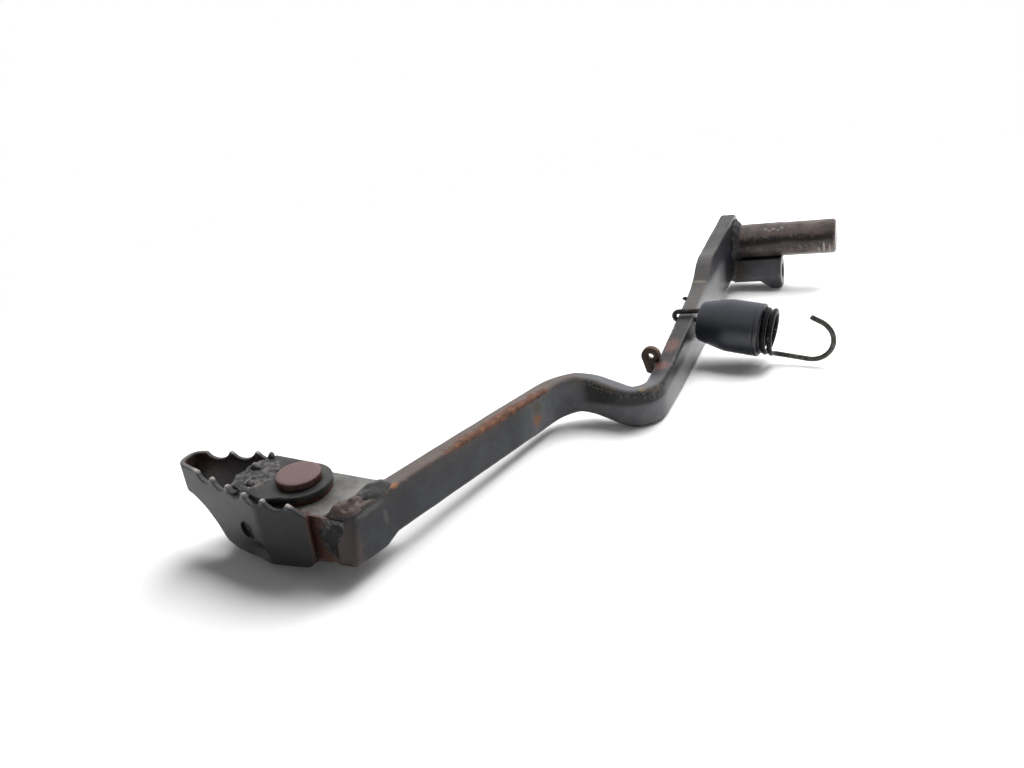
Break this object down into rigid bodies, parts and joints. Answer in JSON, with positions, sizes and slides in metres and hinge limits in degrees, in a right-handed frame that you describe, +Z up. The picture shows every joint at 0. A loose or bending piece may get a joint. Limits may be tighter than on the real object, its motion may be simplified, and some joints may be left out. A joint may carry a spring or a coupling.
{
  "type": "motorbike rear brake pedal",
  "caption": "Rear brake pedal of a motorbike: S-bent steel bar with a folding serrated toe piece, pivot shaft, rod boss and a sleeved return spring, worn and rusty.",
  "frame": {"origin": "on the pivot shaft's axis, at the inner face of the arm", "axes": "+X inboard along the pivot shaft, +Y to the rear of the bike, +Z up"},
  "size_m": [0.1731, 0.2643, 0.0349],
  "materials": {
    "arm_paint": "worn satin black paint over rust",
    "tread_metal": "rubbed dark grey steel",
    "bare_steel": "brown rusty steel",
    "weld": "lumpy weld under worn paint",
    "spring_wire": "dark oiled spring wire",
    "sleeve_rubber": "satin black rubber"
  },
  "bodies": {
    "arm": {"pedal_arm": "arm_paint", "pivot_shaft": "bare_steel", "shaft_weld": "weld", "rod_boss": "arm_paint", "boss_weld": "weld", "stop_tab": "bare_steel", "tab_weld": "weld", "toe_lug": "arm_paint", "lug_weld": "weld", "hinge_rivet": "bare_steel", "rivet_washer": "bare_steel", "toe_spring": "spring_wire"},
    "toe": {"toe_tread": "tread_metal", "hinge_plate_upper": "tread_metal", "hinge_plate_lower": "tread_metal", "tread_weld": "weld", "tread_weld_lower": "weld"},
    "spring": {"return_spring": "spring_wire", "spring_sleeve": "sleeve_rubber"}
  },
  "joints": [
    {"name": "toe_fold", "type": "hinge", "parent": "arm", "child": "toe", "pos_m": [-0.0792, -0.2372, 0.005], "axis": [-0.1045, 0, -0.9945], "range_deg": [0, 75], "stiffness_Nm_per_rad": 0.25},
    {"name": "spring_swing", "type": "hinge", "parent": "arm", "child": "spring", "pos_m": [-0.00325, -0.093, -0.004], "axis": [1, 0, 0], "range_deg": [-10, 10]}
  ]
}
